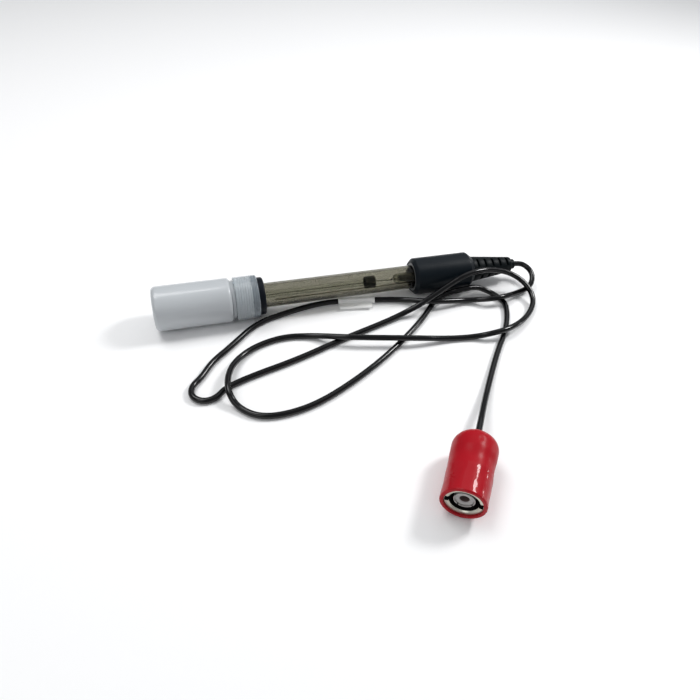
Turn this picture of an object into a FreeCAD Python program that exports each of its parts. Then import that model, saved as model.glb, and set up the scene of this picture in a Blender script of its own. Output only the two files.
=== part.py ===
import FreeCAD, Part
import math
import os
from FreeCAD import Placement, Rotation, Vector

# Redox electrode with its storage bottle, cable and bayonet plug, in millimetres.
# Stations run along the electrode from near the cap's front face: minus towards the tip, plus towards the cable.

# Shaft tube and tip guard
tube_radius = 6.0
tube_wall = 1.1
tube_reach = 120.0
tube_socket_depth = 12.0
guard_depth = 9.0
guard_window_width = 4.6

# Sensor parts inside the tube
tip_plug_length = 6.0
stem_radius = 2.0
stem_bore_radius = 1.2
stem_stand_out = 5.5
stem_top_station = -22.6
tip_pin_radius = 0.5
tip_pin_stand_out = 1.6
tip_pin_length = 5.0
tip_bead_radius = 0.8
junction_radius = 0.7
junction_offset = 3.35
lead_radius = 0.3
sleeve_front_station = -26.0
sleeve_length = 5.4
sleeve_radius = 3.05
solder_front_station = -14.6
solder_length = 3.5
solder_bead_radius = 0.85
solder_neck_radius = 0.45
reference_radius = 0.35
reference_offset = 3.5
reference_end_station = -72.0
reference_coat_radius = 0.8
reference_coat_length = 12.0
core_front_station = -7.9
core_radius = 1.35
core_sleeve_front_station = -10.4
core_sleeve_radius = 2.5
core_sleeve_length = 14.4
potting_front_station = 4.0

# Cap and strain relief
cap_radius = 9.3
cap_front_station = -0.9
cap_rear_station = 29.4
cap_front_chamfer = 1.6
cap_recess_radius = 7.2
cap_recess_depth = 1.0
cap_cone_length = 3.0
cap_cone_end_radius = 6.7
cap_chamber_radius = 6.4
cap_rear_wall = 4.2
relief_neck_radius = 4.6
relief_head_length = 3.0
relief_head_gap = 0.4
relief_length = 22.8
relief_end_radius = 4.0
relief_collar_radius = 2.6
relief_collar_length = 3.0
relief_collar_chamfer = 0.8
relief_slot_width = 1.25
relief_slot_pitch = 4.35
relief_slot_first = 2.55
relief_slot_rows = 5
relief_slot_chord = 4.6
relief_slot_depth = 2.0
relief_slot_heading = 66.0

# Storage bottle, its screw collar and rubber seal
bottle_radius = 10.6
bottle_end_room = 7.3
bottle_shoulder_station = -93.1
bottle_wall = 1.2
bottle_base_round = 2.2
bottle_shoulder_round = 1.6
bottle_push_up = 0.9
bottle_foot_width = 3.2
bottle_foot_slope = 1.2
neck_ring_radius = 9.1
neck_ring_length = 1.6
neck_radius = 8.3
neck_wall = 1.3
neck_length = 8.0
collar_inset = 0.1
collar_length = 11.2
collar_wall = 1.8
collar_end_wall = 1.6
collar_chamfer = 0.5
collar_seat_gap = 0.15
seal_flange_radius = 9.1
seal_flange_length = 3.0
seal_neck_radius = 7.2
seal_inner_radius = 8.0
seal_round = 0.8

# Plug in its boot, measured from the boot's mouth towards the cable
boot_radius = 9.05
boot_length = 31.6
boot_wall = 1.5
boot_dome_round = 6.4
boot_mouth_round = 0.6
boot_rear_wall = 2.4
boot_waist_depth = 0.25
boot_waist_offset = 3.0
boot_waist_length = 5.5
boot_waist_round = 14.0
boot_swell_station = 4.0
boot_swell_round = 12.0
boot_mouth_taper = 0.15
boot_bore_step = 0.9
boot_dome_inner_round = 4.4
nut_recess = 0.9
nut_length = 14.2
nut_bore_radius = 5.65
nut_bore_length = 9.2
nut_chamber_radius = 6.35
nut_rear_wall = 1.7
nut_lead_in = 0.6
slot_floor_radius = 6.85
slot_width = 2.3
slot_entry_length = 2.6
slot_ramp_rise = 3.4
slot_ramp_turn = 80.0
slot_heading = -3.0
contact_radius = 4.1
contact_wall = 0.5
contact_recess = 1.8
contact_slit_width = 0.6
contact_slit_depth = 5.0
insulator_recess = 2.3
insulator_bore_radius = 2.3
insulator_floor = 7.6
pin_radius = 0.675
pin_recess = 4.0
plug_flange_station = 10.3
plug_flange_length = 1.0
plug_flange_radius = 6.05
plug_hub_radius = 4.95
plug_seat_depth = 2.0
plug_rear_radius = 5.6
plug_rear_length = 4.4
gasket_radius = 5.3
gasket_length = 1.4
spring_thickness = 0.3
spring_wave = 0.65
washer_length = 0.4
washer_radius = 6.05
ferrule_radius = 3.0
ferrule_gap = 2.0

# Cable and its label
cable_radius = 1.4
cable_start_depth = 2.8
cable_lead_out = 2.7
label_length = 16.0
label_thickness = 0.15
label_flap_width = 2.6
label_flap_lift = 10.0
label_centre_share = 0.27
arc_share = 0.45

# Fits
running_clearance = 0.3
fit_clearance = 0.05
shaft_clearance = 0.05

# Place of the plug on the surface: mouth centre and the heading of its axis towards the cable
plug_mouth_x = 8.0
plug_mouth_y = -131.4
plug_heading = 56.8
plug_cable_station = 37.5

# Route of the cable between the strain relief and the plug, by its corner points, lying on the surface
# except where it climbs over itself or leans on the cap
cable_route = [
    (99.8, -2.2, 8.6), (101.6, -7.0, 7.3), (100.1, -11.8, 5.1), (96.1, -14.9, 3.2), (89.8, -15.6, 1.9),
    (79.9, -20.2, 4.9), (72.4, -20.6, 4.9), (63.0, -15.3, 1.4), (50.0, -16.3, 3.8), (41.1, -16.0, 4.9),
    (35.2, -12.7, 3.8), (27.3, -6.8, 1.4), (9.8, -3.75, 1.65), (-10.8, -0.8, 1.65), (-29.9, -4.1, 1.4),
    (-47.6, -9.3, 1.4), (-62.2, -23.3, 1.4), (-71.3, -30.9, 1.4), (-76.8, -39.4, 1.4), (-81.6, -43.9, 1.4),
    (-82.3, -49.7, 1.4), (-78.0, -53.8, 1.4), (-72.1, -53.1, 1.4), (-67.2, -47.8, 1.4), (-54.3, -43.3, 1.4),
    (-33.3, -37.9, 1.4), (-9.4, -29.3, 1.4), (14.9, -21.9, 1.4), (26.3, -18.5, 2.6), (33.9, -18.7, 6.8),
    (42.1, -15.6, 8.8), (51.0, -12.9, 11.8), (59.2, -11.1, 15.0), (69.1, -9.1, 15.2), (79.5, -7.6, 12.8),
    (88.0, -9.0, 10.0), (93.2, -13.4, 7.4), (95.7, -19.5, 4.6), (93.8, -26.6, 2.6), (85.4, -35.2, 2.2),
    (72.8, -42.9, 4.6), (62.9, -44.6, 4.8), (54.4, -41.9, 1.4), (41.4, -40.3, 1.4), (24.1, -39.6, 4.6),
    (13.3, -37.3, 4.9), (0.2, -34.3, 5.0), (-10.7, -31.3, 5.0), (-21.9, -24.0, 1.4), (-36.4, -21.4, 1.4),
    (-50.9, -25.1, 1.4), (-61.3, -33.6, 2.4), (-65.8, -44.5, 4.9), (-66.8, -53.8, 4.9), (-64.0, -60.2, 1.4),
    (-56.4, -67.3, 1.4), (-45.3, -68.8, 1.4), (-30.3, -66.0, 1.4), (-11.3, -56.8, 1.4), (9.7, -43.6, 1.4),
    (33.1, -24.6, 1.4), (44.2, -11.8, 1.4), (52.0, -9.5, 3.4), (59.3, -11.3, 5.8), (68.4, -9.8, 5.2),
    (76.2, -12.0, 1.8), (80.8, -20.0, 1.4), (77.2, -30.4, 1.4), (70.4, -41.7, 1.4), (59.8, -54.6, 1.4),
    (45.8, -74.4, 2.2), (36.5, -88.0, 5.5)]
label_corner_index = 14


def outline(corners):
    """Closed wire through (x, radius, rounding) corners in the plane of the axis, with tangent arcs."""
    points = [Vector(corner[0], 0, corner[1]) for corner in corners]
    rounds = [corner[2] if len(corner) > 2 else 0 for corner in corners]
    starts, ends, middles = [], [], []
    for index, point in enumerate(points):
        before = (points[index - 1] - point).normalize()
        after = (points[(index + 1) % len(points)] - point).normalize()
        half = before.getAngle(after) / 2
        reach = rounds[index] / math.tan(half)
        starts.append(point + before * reach)
        ends.append(point + after * reach)
        bisector = (before + after).normalize() if rounds[index] else Vector(0, 0, 0)
        middles.append(point + bisector * rounds[index] * (1 / math.sin(half) - 1))
    edges = []
    for index in range(len(points)):
        if rounds[index]:
            edges.append(Part.Arc(starts[index], middles[index], ends[index]).toShape())
        edges.append(Part.LineSegment(ends[index], starts[(index + 1) % len(points)]).toShape())
    return Part.Wire(edges)


def turned(corners):
    """Solid of revolution about the X axis."""
    return Part.Face(outline(corners)).revolve(Vector(0, 0, 0), Vector(1, 0, 0), 360)


def tube(start, end, outer, inner=0.0):
    """Plain round bar or tube along X."""
    solid = Part.makeCylinder(outer, end - start, Vector(start, 0, 0), Vector(1, 0, 0))
    if inner:
        solid = solid.cut(Part.makeCylinder(inner, end - start, Vector(start, 0, 0), Vector(1, 0, 0)))
    return solid


def about_axis(shape, degrees):
    """Copy of a shape turned about the X axis."""
    copy = shape.copy()
    copy.rotate(Vector(0, 0, 0), Vector(1, 0, 0), degrees)
    return copy


def body_tube():
    """Shaft tube with four windows in the guard round the tip."""
    solid = tube(-tube_reach, tube_socket_depth, tube_radius, tube_radius - tube_wall)
    half = guard_window_width / 2
    window = Part.makeBox(guard_depth - half, guard_window_width, tube_radius + 1,
                          Vector(-tube_reach, -half, 0))
    end = Part.makeCylinder(half, tube_radius + 1, Vector(-tube_reach + guard_depth - half, 0, 0), Vector(0, 0, 1))
    window = window.fuse(end)
    for quarter in range(4):
        solid = solid.cut(about_axis(window, 90 * quarter + 45))
    return solid


def tip_plug():
    """Disc that closes the tube's lower end and holds the stem and the junction."""
    front = -tube_reach + guard_depth
    plug = turned([(front, 0), (front, tube_radius - tube_wall, 0.4),
                   (front + tip_plug_length, tube_radius - tube_wall), (front + tip_plug_length, 0)])
    plug = plug.cut(tube(front, front + tip_plug_length, stem_radius))
    return plug.cut(junction())


def junction():
    """Porous ceramic pin through the tip plug, beside the stem."""
    front = -tube_reach + guard_depth
    return Part.makeCylinder(junction_radius, tip_plug_length,
                             Vector(front, 0, -junction_offset), Vector(1, 0, 0))


def stem_front():
    """Station of the glass stem's closed end."""
    return -tube_reach + guard_depth - stem_stand_out


def glass_stem():
    """Inner glass tube with a round closed end that seals in the platinum pin."""
    front = stem_front()
    closed = front + tip_pin_length - tip_pin_stand_out
    return turned([(front, tip_pin_radius), (front, stem_radius, stem_radius - tip_pin_radius - 0.1),
                   (stem_top_station, stem_radius), (stem_top_station, stem_bore_radius),
                   (closed, stem_bore_radius), (closed, tip_pin_radius)])


def platinum_tip():
    """Platinum pin with a bead at its free end."""
    front = stem_front() - tip_pin_stand_out
    pin = tube(front, front + tip_pin_length, tip_pin_radius)
    bead = Part.makeSphere(tip_bead_radius, Vector(front, 0, 0))
    return pin.fuse(bead).removeSplitter()


def platinum_lead():
    """Wire from the platinum pin up the stem to the solder joint."""
    return tube(stem_front() - tip_pin_stand_out + tip_pin_length, solder_front_station, lead_radius)


def stem_sleeve():
    """Dark stopper on the stem's upper end, pierced for the lead."""
    rear = sleeve_front_station + sleeve_length
    sleeve = turned([(sleeve_front_station, stem_radius), (sleeve_front_station, sleeve_radius, 0.3),
                     (rear, sleeve_radius, 0.3), (rear, lead_radius),
                     (stem_top_station, lead_radius), (stem_top_station, stem_radius)])
    return sleeve


def solder_joint():
    """Two beads of solder where the lead meets the signal wire."""
    front = solder_front_station
    rear = front + solder_length
    waist = front + 0.45 * solder_length
    bead = solder_bead_radius
    return turned([(front, 0), (front, 0.7 * bead, 0.2), (waist, solder_neck_radius, 0.2),
                   (waist + 0.3 * solder_length, bead, 0.4), (rear, 0.5 * bead, 0.2), (rear, 0)])


def signal_wire():
    """Inner conductor between the solder joint and the cable core."""
    return tube(solder_front_station + solder_length, core_front_station, lead_radius)


def reference_wire():
    """Silver wire beside the stem with its chloride-coated end, led up into the potting."""
    end = reference_end_station + reference_coat_length
    wire = Part.makeCylinder(reference_radius, potting_front_station - end, Vector(end, 0, -reference_offset),
                             Vector(1, 0, 0))
    coat = Part.makeCylinder(reference_coat_radius, reference_coat_length,
                             Vector(reference_end_station, 0, -reference_offset), Vector(1, 0, 0))
    return wire.fuse(coat)


def core_sleeve():
    """Clear sleeve with a round end over the cable's stripped core."""
    front = core_sleeve_front_station
    rear = front + core_sleeve_length
    return turned([(front, lead_radius), (front, core_sleeve_radius, 1.9), (rear, core_sleeve_radius),
                   (rear, core_radius), (core_front_station, core_radius), (core_front_station, lead_radius)])


def cable_core():
    """Stripped black core of the cable inside the tube's upper end."""
    return tube(core_front_station, tube_socket_depth, core_radius)


def potting():
    """Resin that closes the tube inside the cap round the core."""
    inner = tube_radius - tube_wall
    return tube(potting_front_station, tube_socket_depth, inner, core_radius)


def cap():
    """Moulded cap: socket for the tube, chamber behind it, and a conical rear shoulder."""
    cone_end = cap_rear_station + cap_cone_length
    chamber_end = cone_end - cap_rear_wall
    socket = tube_radius + fit_clearance
    hole = relief_neck_radius + fit_clearance
    front = cap_front_station
    recess = front + cap_recess_depth
    return turned([(recess, socket), (recess, cap_recess_radius), (front, cap_recess_radius),
                   (front, cap_radius - cap_front_chamfer), (front + cap_front_chamfer, cap_radius, 0.4),
                   (cap_rear_station, cap_radius, 0.8), (cone_end, cap_cone_end_radius),
                   (cone_end, hole), (chamber_end, hole), (chamber_end, cap_chamber_radius),
                   (tube_socket_depth + fit_clearance, cap_chamber_radius),
                   (tube_socket_depth + fit_clearance, socket)])


def relief_start():
    """Station where the strain relief leaves the cap."""
    return cap_rear_station + cap_cone_length


def relief_end():
    """Station of the strain relief's cable end."""
    return relief_start() + relief_length + relief_collar_length


def relief_slot(row, heading):
    """One cooling-fin slot of the strain relief, cut from outside at a heading about the axis."""
    start = relief_start() + relief_slot_first + relief_slot_pitch * row
    share = (start - relief_start()) / relief_length
    surface = cap_cone_end_radius + (relief_end_radius - cap_cone_end_radius) * share
    slot = Part.makeBox(relief_slot_width, relief_slot_chord, surface,
                        Vector(start - relief_slot_width / 2, -relief_slot_chord / 2, surface - relief_slot_depth))
    return about_axis(slot, 90 - heading)


def strain_relief():
    """Tapered rubber sleeve with staggered slots, held in the cap by a head behind the rear wall."""
    start = relief_start()
    taper_end = start + relief_length
    end = relief_end()
    head_end = start - cap_rear_wall - fit_clearance
    head = head_end - relief_head_length
    bore = cable_radius + fit_clearance
    floor = end - cable_start_depth
    body = turned([(head, 0), (head, cap_chamber_radius - relief_head_gap, 0.5),
                   (head_end, cap_chamber_radius - relief_head_gap), (head_end, relief_neck_radius),
                   (start, relief_neck_radius), (start, cap_cone_end_radius), (taper_end, relief_end_radius, 0.5),
                   (taper_end, relief_collar_radius), (end - relief_collar_chamfer, relief_collar_radius),
                   (end, relief_collar_radius - relief_collar_chamfer), (end, bore), (floor, bore), (floor, 0)])
    slots = []
    for row in range(relief_slot_rows):
        for side in (0, 180):
            slots.append(relief_slot(row, relief_slot_heading + side))
            if row < relief_slot_rows - 1:
                slots.append(relief_slot(row + 0.5, relief_slot_heading + 90 + side))
    return body.cut(slots)


def collar_front():
    """Station of the screw collar's edge next to the bottle."""
    return bottle_shoulder_station + neck_ring_length


def seal_seat():
    """Station of the bottle neck's rim, which presses on the seal."""
    return collar_front() + neck_length


def bottle_base():
    """Station of the bottle's base, with room between the shaft's tip and the push-up."""
    return -(tube_reach + bottle_end_room + bottle_wall + bottle_push_up)


def bottle():
    """Storage bottle: straight body, small push-up base, shoulder, neck ring and neck."""
    base = bottle_base()
    shoulder = bottle_shoulder_station
    ring_end = collar_front() - collar_seat_gap
    rim = seal_seat() - fit_clearance
    inner = bottle_radius - bottle_wall
    neck_bore = neck_radius - neck_wall
    foot = bottle_radius - bottle_foot_width
    return turned([(base + bottle_push_up, 0), (base + bottle_push_up, foot - bottle_foot_slope, 0.8),
                   (base, foot, 0.4), (base, bottle_radius, bottle_base_round),
                   (shoulder, bottle_radius, bottle_shoulder_round), (shoulder, neck_ring_radius),
                   (ring_end, neck_ring_radius), (ring_end, neck_radius), (rim, neck_radius, 0.3),
                   (rim, neck_bore, 0.3), (shoulder - bottle_wall, neck_bore, 0.5),
                   (shoulder - bottle_wall, inner, 1.0), (base + bottle_push_up + bottle_wall, inner, 1.4),
                   (base + bottle_push_up + bottle_wall, 0)])


def bottle_collar():
    """Screw collar over the bottle's neck, with an end wall that clamps the seal."""
    front = collar_front()
    rear = front + collar_length
    outer = bottle_radius - collar_inset
    bore = outer - collar_wall
    hole = seal_neck_radius + running_clearance
    return turned([(front, bore), (front, outer, 0.3),
                   (rear - collar_chamfer, outer), (rear, outer - collar_chamfer),
                   (rear, hole), (rear - collar_end_wall, hole), (rear - collar_end_wall, bore)])


def seal_ring():
    """Rubber seal: outer flange, neck through the collar's end wall and inner flange on the bottle's rim."""
    wall_end = collar_front() + collar_length
    wall_start = wall_end - collar_end_wall
    bore = tube_radius + shaft_clearance
    end = wall_end + seal_flange_length + fit_clearance
    return turned([(seal_seat(), bore), (seal_seat(), seal_inner_radius, 0.3),
                   (wall_start - fit_clearance, seal_inner_radius), (wall_start - fit_clearance, seal_neck_radius),
                   (wall_end + fit_clearance, seal_neck_radius), (wall_end + fit_clearance, seal_flange_radius, 0.3),
                   (end, seal_flange_radius, seal_round), (end, bore, 0.3)])


def boot():
    """Dipped vinyl boot: round mouth edge, faint waist behind the nut and a domed rear with the cable hole."""
    front_bore = boot_radius - boot_wall
    waist = boot_radius - boot_waist_depth
    nut_end = nut_recess + nut_length + fit_clearance
    rear_bore = front_bore - boot_bore_step
    waist_start = nut_end + boot_waist_offset
    inner_end = boot_length - boot_rear_wall
    hole = cable_radius + running_clearance
    return turned([(0, front_bore, 0.4), (0, boot_radius - boot_mouth_taper, boot_mouth_round),
                   (boot_swell_station, boot_radius, boot_swell_round), (waist_start, waist, boot_waist_round),
                   (waist_start + boot_waist_length, boot_radius, boot_waist_round),
                   (boot_length, boot_radius, boot_dome_round), (boot_length, hole, 0.4),
                   (inner_end, hole), (inner_end, rear_bore, boot_dome_inner_round), (nut_end, rear_bore),
                   (nut_end, front_bore)])


def slot_cutter():
    """Cutter of one bayonet slot: straight entry at the mouth, then a ramp round the bore."""
    inner = nut_bore_radius - 0.8
    depth = slot_floor_radius - inner
    entry = Part.makeBox(slot_entry_length + 1, slot_width, depth,
                         Vector(nut_recess - 1, -slot_width / 2, inner))
    entry_end = nut_recess + slot_entry_length
    pitch = slot_ramp_rise * 360 / slot_ramp_turn
    helix = Part.makeHelix(pitch, slot_ramp_rise, slot_floor_radius)
    profile = Part.makePolygon([Vector(slot_floor_radius, 0, -slot_width / 2), Vector(inner, 0, -slot_width / 2),
                                Vector(inner, 0, slot_width / 2), Vector(slot_floor_radius, 0, slot_width / 2),
                                Vector(slot_floor_radius, 0, -slot_width / 2)])
    ramp = Part.Wire(helix.Edges).makePipeShell([profile], True, True)
    # the helix climbs along Z from the X axis; these turns lay it along +X, starting at the top
    ramp.rotate(Vector(0, 0, 0), Vector(0, 1, 0), 90)
    ramp = about_axis(ramp, 180)
    ramp.translate(Vector(entry_end - slot_width / 2, 0, 0))
    end = Part.makeCylinder(slot_width / 2, depth, Vector(entry_end + slot_ramp_rise - slot_width / 2, 0, inner),
                            Vector(0, 0, 1))
    return entry, ramp, about_axis(end, slot_ramp_turn)


def coupling_nut():
    """Bayonet nut: lead-in, bore with two ramped slots, chamber for the spring and a rear wall."""
    front = nut_recess
    rear = front + nut_length
    outer = boot_radius - boot_wall - fit_clearance
    chamber = front + nut_bore_length
    wall = rear - nut_rear_wall
    hole = plug_hub_radius + running_clearance
    nut = turned([(front, nut_bore_radius + nut_lead_in), (front, outer, 0.4), (rear, outer, 0.4), (rear, hole),
                  (wall, hole), (wall, nut_chamber_radius), (chamber, nut_chamber_radius),
                  (chamber, nut_bore_radius), (front + nut_lead_in, nut_bore_radius)])
    for half_turn in (0, 180):
        for cutter in slot_cutter():
            nut = nut.cut(about_axis(cutter, slot_heading + 90 + half_turn))
    return nut


def outer_contact():
    """Slotted spring sleeve of the plug."""
    start = contact_recess
    end = plug_flange_station + plug_seat_depth
    sleeve = turned([(start, contact_radius - contact_wall), (start, contact_radius, 0.2), (end, contact_radius),
                     (end, contact_radius - contact_wall)])
    slit = Part.makeBox(contact_slit_depth, 2 * contact_radius + 2, contact_slit_width,
                        Vector(start, -contact_radius - 1, -contact_slit_width / 2))
    return sleeve.cut([about_axis(slit, 30), about_axis(slit, 120)])


def insulator():
    """Plastic insert inside the contact sleeve, open at the front round the pin."""
    outer = contact_radius - contact_wall
    start = insulator_recess
    end = plug_flange_station + plug_seat_depth + 1.5
    return turned([(start, insulator_bore_radius), (start, outer, 0.2), (end, outer), (end, pin_radius),
                   (insulator_floor, pin_radius), (insulator_floor, insulator_bore_radius)])


def plug_end():
    """Station of the plug body's rear face, where the cable is fixed."""
    return nut_recess + nut_length + running_clearance + plug_rear_length


def centre_pin():
    """Centre contact with a rounded nose."""
    return turned([(pin_recess, 0), (pin_recess, pin_radius, 0.5), (plug_end() - 1.0, pin_radius),
                   (plug_end() - 1.0, 0)])


def plug_body():
    """Turned body: seat for the contact, flange for the spring, hub through the nut and rear collar."""
    front = plug_flange_station
    flange_end = front + plug_flange_length
    seat_end = front + plug_seat_depth
    insert_end = seat_end + 1.5
    rear = plug_end()
    collar = rear - plug_rear_length
    return turned([(front, contact_radius), (front, plug_flange_radius), (flange_end, plug_flange_radius),
                   (flange_end, plug_hub_radius), (collar, plug_hub_radius), (collar, plug_rear_radius),
                   (rear - 0.5, plug_rear_radius), (rear, plug_rear_radius - 0.5), (rear, 0), (rear - 1.0, 0),
                   (rear - 1.0, pin_radius), (insert_end, pin_radius), (insert_end, contact_radius - contact_wall),
                   (seat_end, contact_radius - contact_wall), (seat_end, contact_radius)])


def gasket():
    """Soft ring at the root of the contact sleeve."""
    return turned([(plug_flange_station - gasket_length, contact_radius),
                   (plug_flange_station - gasket_length, gasket_radius, 0.4),
                   (plug_flange_station, gasket_radius), (plug_flange_station, contact_radius)])


def washer_start():
    """Station of the thrust washer, which rests on the nut's rear wall."""
    return nut_recess + nut_length - nut_rear_wall - washer_length


def thrust_washer():
    """Flat washer between the wave spring and the nut's rear wall."""
    return tube(washer_start(), washer_start() + washer_length, washer_radius, plug_hub_radius + running_clearance)


def wave_spring():
    """Spring washer bent into three waves between the body's flange and the thrust washer."""
    inner = plug_hub_radius + 0.15
    outer = washer_radius - 0.1
    middle = (plug_flange_station + plug_flange_length + washer_start()) / 2
    steps = 24
    shells = []
    for side in (-1, 1):
        rings = []
        for radius in (inner, outer):
            points = []
            for step in range(steps):
                turn = 2 * math.pi * step / steps
                lift = middle + side * spring_thickness / 2 + spring_wave * math.cos(3 * turn)
                points.append(Vector(lift, radius * math.cos(turn), radius * math.sin(turn)))
            curve = Part.BSplineCurve()
            curve.interpolate(points, PeriodicFlag=True)
            rings.append(Part.Wire(curve.toShape()))
        shells.append(rings)
    faces = [Part.makeRuledSurface(shells[0][0], shells[0][1]), Part.makeRuledSurface(shells[1][0], shells[1][1]),
             Part.makeRuledSurface(shells[0][0], shells[1][0]), Part.makeRuledSurface(shells[0][1], shells[1][1])]
    shell = Part.makeShell([face for part in faces for face in part.Faces])
    solid = Part.makeSolid(shell)
    if solid.Volume < 0:
        solid.reverse()
    return solid


def crimp_ferrule():
    """Crimped ferrule on the cable behind the plug body."""
    start = plug_end()
    end = boot_length - boot_rear_wall - ferrule_gap
    bore = cable_radius + fit_clearance
    return turned([(start, bore), (start, ferrule_radius, 0.3), (end, ferrule_radius, 0.6), (end, bore)])


def electrode_placement():
    """Rest of the electrode on a flat surface, touching at the bottle's shoulder and the cap's rear edge."""
    touch_bottle = bottle_shoulder_station - bottle_shoulder_round
    tilt = math.atan((bottle_radius - cap_radius) / (cap_rear_station - touch_bottle))
    lift = cap_radius * math.cos(tilt) + cap_rear_station * math.sin(tilt)
    round_centre = bottle_base() + bottle_base_round
    low_x = (round_centre * math.cos(tilt) - (bottle_radius - bottle_base_round) * math.sin(tilt)
             - bottle_base_round)
    high_x = (relief_end() * math.cos(tilt)
              + (relief_collar_radius - relief_collar_chamfer) * math.sin(tilt))
    shift = -(low_x + high_x) / 2
    return Placement(Vector(shift, 0, lift), Rotation(Vector(0, 1, 0), math.degrees(tilt)))


def plug_placement():
    """Plug lying on the surface on its boot."""
    return Placement(Vector(plug_mouth_x, plug_mouth_y, boot_radius), Rotation(Vector(0, 0, 1), plug_heading))


def cable_points():
    """Corner points of the cable, from inside the strain relief to the plug body's rear face."""
    electrode = electrode_placement()
    plug = plug_placement()
    first = [electrode.multVec(Vector(relief_end() - cable_start_depth, 0, 0)),
             electrode.multVec(Vector(relief_end() + cable_lead_out, 0, 0))]
    last = [plug.multVec(Vector(plug_cable_station, 0, 0)), plug.multVec(Vector(plug_end(), 0, 0))]
    return first + [Vector(*point) for point in cable_route] + last


def cable_path():
    """Straight runs joined by tangent arcs; prints each arc's radius."""
    points = cable_points()
    edges, radii = [], []
    last = points[0]
    for before, point, after in zip(points, points[1:], points[2:]):
        back, ahead = before - point, after - point
        reach = arc_share * min(back.Length, ahead.Length)
        half = back.getAngle(ahead) / 2
        radius = reach * math.tan(half)
        radii.append(round(radius, 1))
        start = point + back.normalize() * reach
        end = point + ahead.normalize() * reach
        middle = point + (back + ahead).normalize() * (radius / math.sin(half) - radius)
        edges.append(Part.LineSegment(last, start).toShape())
        edges.append(Part.Arc(start, middle, end).toShape())
        last = end
    edges.append(Part.LineSegment(last, points[-1]).toShape())
    print("cable arc radii", radii)
    return Part.Wire(edges)


def cable():
    """Round cable swept along its path."""
    path = cable_path()
    first, second = cable_points()[:2]
    section = Part.Wire(Part.makeCircle(cable_radius, first, second - first))
    solid = path.makePipeShell([section], True, False)
    print("cable length", round(path.Length, 2), "volume share",
          round(solid.Volume / (math.pi * cable_radius ** 2 * path.Length), 4))
    return solid


def cable_label():
    """Paper label wrapped round the cable, with its two ends stuck together as a flap."""
    points = cable_points()
    start, end = points[label_corner_index], points[label_corner_index + 1]
    along = (end - start).normalize()
    centre = start + (end - start) * label_centre_share
    front = centre - along * label_length / 2
    inner = cable_radius + fit_clearance
    ring = Part.makeCylinder(inner + label_thickness, label_length, front, along)
    flap = Part.makeBox(label_length, inner + label_flap_width, 2 * label_thickness)
    flap.translate(Vector(0, -inner - label_flap_width, 0))
    flap.rotate(Vector(0, 0, 0), Vector(1, 0, 0), -label_flap_lift)
    flap.rotate(Vector(0, 0, 0), Vector(0, 0, 1), math.degrees(math.atan2(-along.y, -along.x)))
    flap.translate(front + along * label_length)
    return ring.fuse(flap).cut(Part.makeCylinder(inner, label_length, front, along))


ELECTRODE_PARTS = [body_tube, tip_plug, glass_stem, platinum_tip, platinum_lead, stem_sleeve, solder_joint,
                   signal_wire, reference_wire, core_sleeve, cable_core, potting, cap, strain_relief,
                   bottle, bottle_collar, seal_ring]
PLUG_PARTS = [boot, coupling_nut, outer_contact, insulator, centre_pin, plug_body, gasket, thrust_washer,
              wave_spring, crimp_ferrule]


def placed(shape, placement):
    """Copy of a shape moved to its place in the common frame."""
    copy = shape.copy()
    copy.Placement = placement.multiply(copy.Placement)
    return copy


def main():
    os.makedirs("parts", exist_ok=True)
    nodes = {}
    for make in ELECTRODE_PARTS:
        nodes[make.__name__] = placed(make(), electrode_placement())
    nodes["reference_junction"] = placed(junction(), electrode_placement())
    for make in PLUG_PARTS:
        nodes[make.__name__] = placed(make(), plug_placement())
    nodes["cable"] = cable()
    nodes["cable_label"] = cable_label()
    for name, shape in nodes.items():
        if not shape.isValid() or len(shape.Solids) != 1:
            print("look at", name, shape.isValid(), len(shape.Solids))
        shape.exportStep("parts/" + name + ".step")
    print(len(nodes), "nodes")


main()
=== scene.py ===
import math

import bmesh
import bpy
from mathutils import Matrix, Vector, noise


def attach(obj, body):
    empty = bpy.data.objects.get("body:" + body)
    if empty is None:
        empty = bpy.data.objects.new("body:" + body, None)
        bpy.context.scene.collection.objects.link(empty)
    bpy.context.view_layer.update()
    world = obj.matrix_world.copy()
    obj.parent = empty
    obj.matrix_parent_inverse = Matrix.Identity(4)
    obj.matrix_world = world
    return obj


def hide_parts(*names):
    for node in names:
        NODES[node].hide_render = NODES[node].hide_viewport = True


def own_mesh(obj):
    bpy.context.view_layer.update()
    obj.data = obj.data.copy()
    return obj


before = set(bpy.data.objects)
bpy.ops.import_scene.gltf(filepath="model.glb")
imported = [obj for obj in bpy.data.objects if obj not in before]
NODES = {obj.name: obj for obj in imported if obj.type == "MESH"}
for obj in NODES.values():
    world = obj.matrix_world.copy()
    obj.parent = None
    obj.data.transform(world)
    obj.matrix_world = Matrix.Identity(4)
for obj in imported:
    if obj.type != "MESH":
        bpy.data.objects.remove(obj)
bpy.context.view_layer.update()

MM = 0.001

# Sizes in mm. Along the electrode, stations run from the cap's front face, plus towards the cable
BOTTLE_RADIUS = 10.6
BOTTLE_BASE = -129.4
BOTTLE_FOOT_ROUND = 2.2
BOTTLE_SHOULDER = -93.1
BOTTLE_SHOULDER_ROUND = 1.6
BOTTLE_REST = BOTTLE_SHOULDER - BOTTLE_SHOULDER_ROUND
CAP_RADIUS = 9.3
CAP_REAR = 29.4
CAP_CONE_END = 32.4
RELIEF_RADIUS = 6.7
RELIEF_TAPER_END = 55.2
RELIEF_TAPER_RADIUS = 4.0
RELIEF_END = 58.2
RELIEF_END_RADIUS = 1.8
CABLE_SEAT = 55.4
CABLE_DIAMETER = 2.8
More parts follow.
